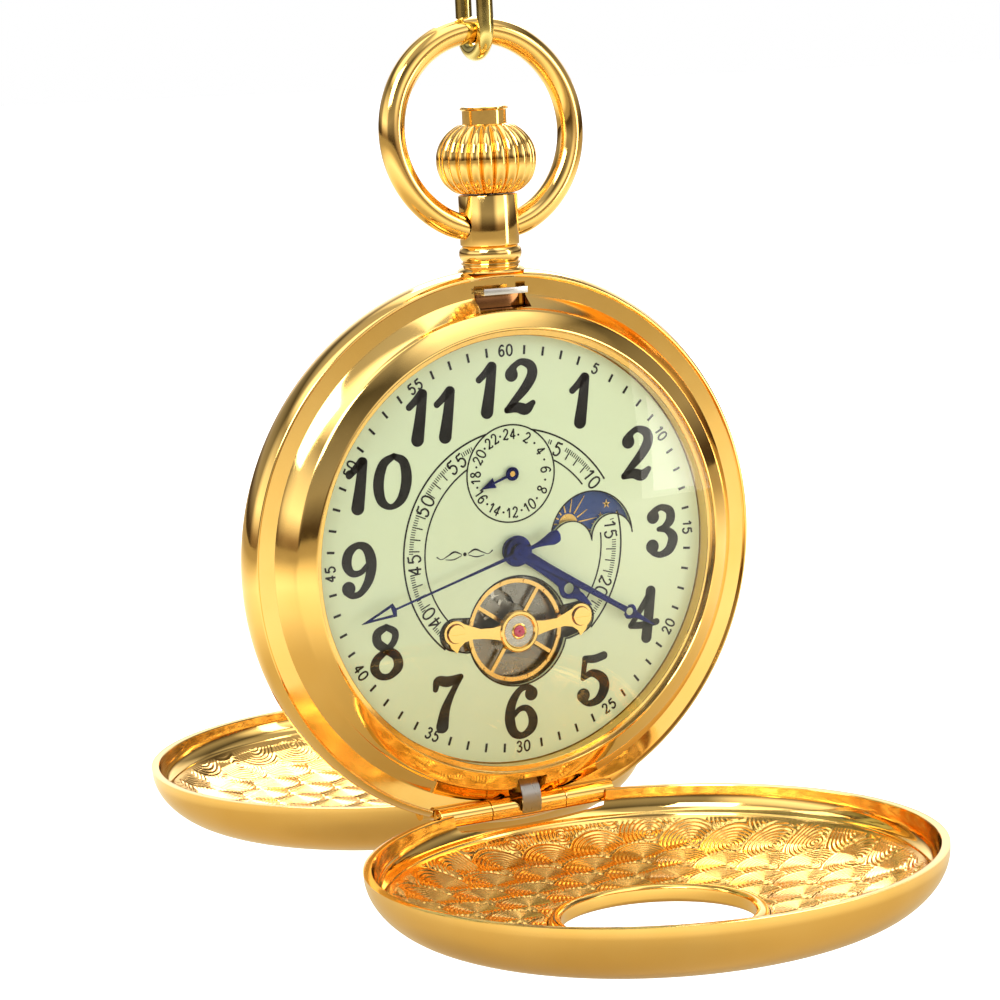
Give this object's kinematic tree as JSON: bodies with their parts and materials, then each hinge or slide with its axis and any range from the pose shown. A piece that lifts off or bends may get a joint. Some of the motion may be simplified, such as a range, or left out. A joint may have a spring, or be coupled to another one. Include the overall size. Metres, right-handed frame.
{
  "type": "pocket watch",
  "caption": "Round double-cover pocket watch with cream dial, blue hands, open balance at six, windowed front cover, ring bow and fluted crown.",
  "frame": {"origin": "on the axis of the hands, half way through the thickness of the case band", "axes": "+X towards 3 o'clock, +Z towards 12 o'clock and the crown, -Y out of the dial"},
  "size_m": [0.05, 0.0989, 0.0838],
  "materials": {
    "gold": "polished yellow gold plate",
    "gold_satin": "fine brushed gold plate",
    "gold_engraved": "gold plate, embossed inside with overlapping ring pattern, polished outside",
    "pale_gold": "polished pale gold wire",
    "crystal": "clear domed mineral crystal",
    "dial": "satin cream enamel with black printing",
    "blue_steel": "blued steel",
    "steel": "grained steel",
    "spring_steel": "grained spring steel",
    "nickel": "striped rhodium plate",
    "brass": "gilt wheel brass",
    "ruby": "polished synthetic ruby",
    "moon_disc": "blue lacquer with gold sun, moon and stars"
  },
  "bodies": {
    "case": {"mid_case": "gold", "pendant": "gold", "front_bezel": "gold", "front_crystal": "crystal", "rear_bezel": "gold", "rear_crystal": "crystal", "front_hinge_pin": "steel", "rear_hinge_pin": "steel", "dial": "dial", "main_plate": "nickel", "barrel_bridge": "nickel", "train_bridge": "nickel", "bridge_screws": "blue_steel", "small_screws": "blue_steel", "jewels": "ruby", "case_screws": "blue_steel", "pallet_cock": "nickel", "balance_bridge": "gold", "balance_bridge_screws": "gold", "regulator_disc": "steel", "hairspring": "spring_steel", "click_spring": "spring_steel"},
    "front_cover": {"front_cover": "gold_engraved"},
    "rear_cover": {"rear_cover": "gold_engraved"},
    "front_lift_spring": {"front_lift_spring": "spring_steel"},
    "front_latch": {"front_latch": "spring_steel"},
    "bow": {"bow": "gold"},
    "chain_link": {"chain_link": "pale_gold"},
    "sliding_pinion": {"sliding_pinion": "steel"},
    "crown": {"crown": "gold", "winding_stem": "steel", "button_spring": "spring_steel"},
    "push_button": {"push_button": "gold"},
    "winding_pinion": {"winding_pinion": "steel"},
    "crown_wheel": {"crown_wheel": "steel"},
    "ratchet": {"ratchet_wheel": "steel", "barrel_arbor": "steel"},
    "fourth_wheel": {"fourth_wheel": "brass", "second_hand": "blue_steel"},
    "third_wheel": {"third_wheel": "brass"},
    "centre_wheel": {"centre_wheel": "brass", "cannon_pinion": "steel", "minute_hand": "blue_steel"},
    "barrel": {"barrel": "brass", "mainspring": "spring_steel"},
    "escape_wheel": {"escape_wheel": "steel"},
    "minute_wheel": {"minute_wheel": "brass"},
    "hour_wheel": {"hour_wheel": "brass", "hour_hand": "blue_steel"},
    "intermediate_wheel": {"intermediate_wheel": "brass"},
    "day_wheel": {"day_wheel": "brass", "day_night_hand": "blue_steel"},
    "sun_moon_disc": {"sun_moon_disc": "moon_disc"},
    "setting_wheel_inner": {"setting_wheel_inner": "brass"},
    "setting_wheel_outer": {"setting_wheel_outer": "brass"},
    "balance": {"balance_wheel": "brass", "balance_staff": "steel"},
    "pallet_fork": {"pallet_fork": "steel"},
    "click": {"click": "steel"},
    "setting_lever": {"setting_lever": "steel"}
  },
  "joints": [
    {"name": "front_cover_hinge", "type": "hinge", "parent": "case", "child": "front_cover", "pos_m": [0, -0.00198, -0.0233], "axis": [-1, 0, 0], "range_deg": [-4, 87.7]},
    {"name": "rear_cover_hinge", "type": "hinge", "parent": "case", "child": "rear_cover", "pos_m": [0, 0.00198, -0.0233], "axis": [1, 0, 0], "range_deg": [0, 91]},
    {"name": "front_spring_flex", "type": "hinge", "parent": "case", "child": "front_lift_spring", "pos_m": [0, -0.0023, -0.02055], "axis": [1, 0, 0], "range_deg": [-0.2, 3]},
    {"name": "button_press", "type": "slide", "parent": "crown", "child": "push_button", "axis": [0, 0, -1], "range_m": [0, 0.0008], "deforming": ["button_spring"]},
    {"name": "latch_slide", "type": "slide", "parent": "case", "child": "front_latch", "axis": [0, 0, -1], "range_m": [0, 0.0004]},
    {"name": "bow_hinge", "type": "hinge", "parent": "case", "child": "bow", "pos_m": [0, 0, 0.0289], "axis": [1, 0, 0], "range_deg": [-80, 80]},
    {"name": "link_swing", "type": "hinge", "parent": "bow", "child": "chain_link", "pos_m": [0, 0.001, 0.04576], "axis": [1, 0, 0], "range_deg": [-55, 55]},
    {"name": "crown_spin", "type": "hinge", "parent": "case", "child": "sliding_pinion", "pos_m": [0, 0, 0], "axis": [0, 0, 1], "continuous": true},
    {"name": "crown_pull", "type": "slide", "parent": "sliding_pinion", "child": "crown", "axis": [0, 0, 1], "range_m": [0, 0.0006]},
    {"name": "setting_lever_swing", "type": "hinge", "parent": "case", "child": "setting_lever", "pos_m": [0.0036, 0, 0.0154], "axis": [0, 1, 0], "range_deg": [0, 12.5]},
    {"name": "winding_pinion_spin", "type": "hinge", "parent": "case", "child": "winding_pinion", "pos_m": [0, 0, 0], "axis": [0, 0, 1], "continuous": true},
    {"name": "crown_wheel_spin", "type": "hinge", "parent": "case", "child": "crown_wheel", "pos_m": [0, 0, 0.0142], "axis": [0, 1, 0], "continuous": true},
    {"name": "ratchet_spin", "type": "hinge", "parent": "case", "child": "ratchet", "pos_m": [-0.00657, 0, 0.00615], "axis": [0, 1, 0], "continuous": true},
    {"name": "seconds_spin", "type": "hinge", "parent": "case", "child": "fourth_wheel", "pos_m": [0, 0, 0], "axis": [0, 1, 0], "continuous": true},
    {"name": "third_wheel_spin", "type": "hinge", "parent": "case", "child": "third_wheel", "pos_m": [0.00442, 0, -0.00255], "axis": [0, 1, 0], "continuous": true},
    {"name": "minutes_spin", "type": "hinge", "parent": "case", "child": "centre_wheel", "pos_m": [0, 0, 0], "axis": [0, 1, 0], "continuous": true},
    {"name": "barrel_spin", "type": "hinge", "parent": "case", "child": "barrel", "pos_m": [-0.00657, 0, 0.00615], "axis": [0, 1, 0], "continuous": true},
    {"name": "escape_wheel_spin", "type": "hinge", "parent": "case", "child": "escape_wheel", "pos_m": [-0.00308, 0, -0.00388], "axis": [0, 1, 0], "continuous": true},
    {"name": "minute_wheel_spin", "type": "hinge", "parent": "case", "child": "minute_wheel", "pos_m": [-0.00212, 0, 0.00212], "axis": [0, 1, 0], "continuous": true},
    {"name": "hours_spin", "type": "hinge", "parent": "case", "child": "hour_wheel", "pos_m": [0, 0, 0], "axis": [0, 1, 0], "continuous": true},
    {"name": "intermediate_wheel_spin", "type": "hinge", "parent": "case", "child": "intermediate_wheel", "pos_m": [0.00279, 0, 0.00228], "axis": [0, 1, 0], "continuous": true},
    {"name": "day_spin", "type": "hinge", "parent": "case", "child": "day_wheel", "pos_m": [0, 0, 0.0069], "axis": [0, 1, 0], "continuous": true},
    {"name": "sun_moon_spin", "type": "hinge", "parent": "case", "child": "sun_moon_disc", "pos_m": [0.0078, 0, 0.00028], "axis": [0, 1, 0], "continuous": true},
    {"name": "setting_wheel_inner_spin", "type": "hinge", "parent": "case", "child": "setting_wheel_inner", "pos_m": [-0.0032, 0, 0.00623], "axis": [0, 1, 0], "continuous": true},
    {"name": "setting_wheel_outer_spin", "type": "hinge", "parent": "case", "child": "setting_wheel_outer", "pos_m": [-0.0016, 0, 0.0099], "axis": [0, 1, 0], "continuous": true},
    {"name": "balance_swing", "type": "hinge", "parent": "case", "child": "balance", "pos_m": [0, 0, -0.0073], "axis": [0, 1, 0], "range_deg": [-140, 140]},
    {"name": "pallet_fork_swing", "type": "hinge", "parent": "case", "child": "pallet_fork", "pos_m": [-0.00153, 0, -0.0056], "axis": [0, 1, 0], "range_deg": [-5, 5]},
    {"name": "click_lift", "type": "hinge", "parent": "case", "child": "click", "pos_m": [-0.01573, 0, 0.00535], "axis": [0, -1, 0], "range_deg": [0, 5]}
  ],
  "couplings": [
    {"joint": "third_wheel_spin", "follows": "seconds_spin", "ratio": -0.125},
    {"joint": "minutes_spin", "follows": "seconds_spin", "ratio": 0.016667},
    {"joint": "barrel_spin", "follows": "seconds_spin", "ratio": -0.0020833},
    {"joint": "escape_wheel_spin", "follows": "seconds_spin", "ratio": -10},
    {"joint": "minute_wheel_spin", "follows": "seconds_spin", "ratio": -0.0055556},
    {"joint": "hours_spin", "follows": "seconds_spin", "ratio": 0.0013889},
    {"joint": "intermediate_wheel_spin", "follows": "seconds_spin", "ratio": -0.0013889},
    {"joint": "day_spin", "follows": "seconds_spin", "ratio": 0.00069444},
    {"joint": "sun_moon_spin", "follows": "seconds_spin", "ratio": 0.00069444},
    {"joint": "setting_wheel_inner_spin", "follows": "seconds_spin", "ratio": 0.00625},
    {"joint": "setting_wheel_outer_spin", "follows": "seconds_spin", "ratio": -0.00625},
    {"joint": "winding_pinion_spin", "follows": "crown_spin", "ratio": 1},
    {"joint": "crown_wheel_spin", "follows": "crown_spin", "ratio": -0.6},
    {"joint": "ratchet_spin", "follows": "crown_spin", "ratio": 0.375},
    {"joint": "latch_slide", "follows": "button_press", "ratio": 0.5},
    {"joint": "setting_lever_swing", "follows": "crown_pull", "rad_per_m": 357},
    {"joint": "front_spring_flex", "follows": "front_cover_hinge", "ratio": 0.03}
  ]
}
